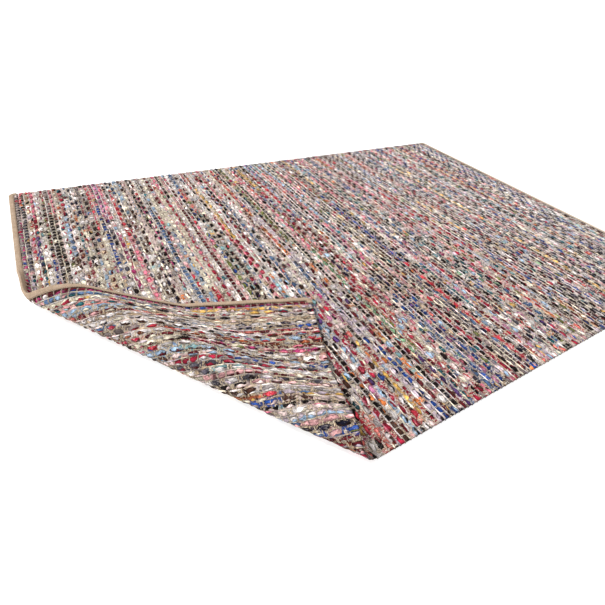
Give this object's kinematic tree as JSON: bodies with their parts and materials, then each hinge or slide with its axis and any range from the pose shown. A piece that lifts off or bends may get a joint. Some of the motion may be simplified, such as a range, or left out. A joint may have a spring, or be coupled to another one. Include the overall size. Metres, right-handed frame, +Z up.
{
  "type": "rag rug",
  "caption": "Flat-woven rectangular rag rug of mixed cotton rags and jute, tape-bound ends, lying flat with one corner turned over onto it.",
  "frame": {"origin": "on the floor under the middle of the rug's 2.30 x 1.60 m rectangle", "axes": "+X along the warp, from the left bound end to the right one, +Y along the wefts, away from the turned-over corner, +Z up"},
  "size_m": [2.3006, 1.6002, 0.1001],
  "materials": {
    "woven_rags": "matte woven rags and jute",
    "binding_tape": "matte cotton tape"
  },
  "bodies": {
    "root": {"rug_cloth": "woven_rags", "binding_left": "binding_tape", "binding_right": "binding_tape"}
  },
  "joints": []
}
